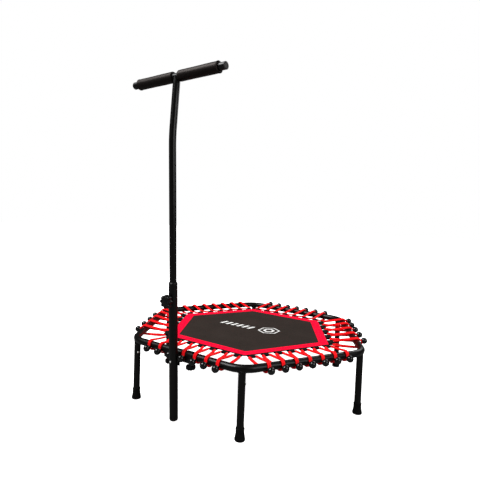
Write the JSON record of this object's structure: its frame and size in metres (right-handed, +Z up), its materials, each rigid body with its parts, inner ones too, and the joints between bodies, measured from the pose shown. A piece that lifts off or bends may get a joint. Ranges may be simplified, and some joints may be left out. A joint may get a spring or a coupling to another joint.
{
  "type": "mini trampoline",
  "caption": "Hexagonal mini trampoline with bungee-hung mat, tubular legs with rubber feet and a clamp-on, height-adjustable T handle.",
  "frame": {"origin": "on the floor, at the bottom centre of the whole object's box; the middle of the mat is at y = +0.049 m", "axes": "+Z up; -Y towards the handle side, which is the side a user faces while holding the bar; X along the handle's crossbar; the frame's corners at 0, 60, 120, 180, 240 and 300 degrees about the middle of the mat"},
  "size_m": [1.2688, 1.2493, 1.4899],
  "materials": {
    "frame_paint": "satin black powder coat",
    "foot_rubber": "matte moulded rubber",
    "zinc_steel": "bright zinc",
    "black_plastic": "satin moulded plastic",
    "foam": "closed-cell foam",
    "mat_fabric": "woven polypropylene",
    "border_fabric": "woven red band",
    "webbing": "ribbed webbing",
    "cord": "braided elastic cord"
  },
  "bodies": {
    "frame": {"frame_ring": "frame_paint", "leg_1": "frame_paint", "leg_2": "frame_paint", "leg_3": "frame_paint", "leg_4": "frame_paint", "leg_5": "frame_paint", "leg_6": "frame_paint", "handle_post": "frame_paint", "height_nut": "frame_paint", "post_bracket": "frame_paint", "clamp_hook_left": "frame_paint", "clamp_hook_right": "frame_paint", "foot_1": "foot_rubber", "foot_2": "foot_rubber", "foot_3": "foot_rubber", "foot_4": "foot_rubber", "foot_5": "foot_rubber", "foot_6": "foot_rubber", "post_end_plug": "foot_rubber", "leg_screw_1": "zinc_steel", "leg_screw_2": "zinc_steel", "leg_screw_3": "zinc_steel", "leg_screw_4": "zinc_steel", "leg_screw_5": "zinc_steel", "leg_screw_6": "zinc_steel", "post_screw": "zinc_steel", "clamp_washer_left": "zinc_steel", "clamp_washer_right": "zinc_steel", "post_collar": "black_plastic", "bungees_side_1": "cord", "bungees_side_2": "cord", "bungees_side_3": "cord", "bungees_side_4": "cord", "bungees_side_5": "cord", "bungees_side_6": "cord"},
    "mat": {"mat_fabric": "mat_fabric", "mat_border": "border_fabric", "mat_webbing": "webbing"},
    "handle": {"handle_stem": "frame_paint", "handle_crossbar": "frame_paint", "grip_left": "foam", "grip_right": "foam", "bar_cap_left": "black_plastic", "bar_cap_right": "black_plastic"},
    "height_knob": {"height_knob": "black_plastic", "height_screw": "zinc_steel"},
    "clamp_knob_left": {"clamp_knob_left": "black_plastic", "clamp_stud_left": "zinc_steel"},
    "clamp_knob_right": {"clamp_knob_right": "black_plastic", "clamp_stud_right": "zinc_steel"}
  },
  "joints": [
    {"name": "mat_bounce", "type": "slide", "parent": "frame", "child": "mat", "axis": [0, 0, -1], "range_m": [0, 0.14], "stiffness_N_per_m": 9000, "deforming": ["bungees_side_1", "bungees_side_2", "bungees_side_3", "bungees_side_4", "bungees_side_5", "bungees_side_6"]},
    {"name": "handle_height", "type": "slide", "parent": "frame", "child": "handle", "axis": [0, -0.045, 0.999], "range_m": [-0.21, 0]},
    {"name": "height_knob_turn", "type": "hinge", "parent": "frame", "child": "height_knob", "pos_m": [-0.0127, -0.61224, 0.53457], "axis": [0, -0.999, -0.045], "range_deg": [0, 720]},
    {"name": "clamp_knob_left_turn", "type": "hinge", "parent": "frame", "child": "clamp_knob_left", "pos_m": [-0.0747, -0.51513, 0.252], "axis": [0, 0, -1], "range_deg": [0, 720]},
    {"name": "clamp_knob_right_turn", "type": "hinge", "parent": "frame", "child": "clamp_knob_right", "pos_m": [0.0493, -0.51513, 0.252], "axis": [0, 0, -1], "range_deg": [0, 720]}
  ]
}
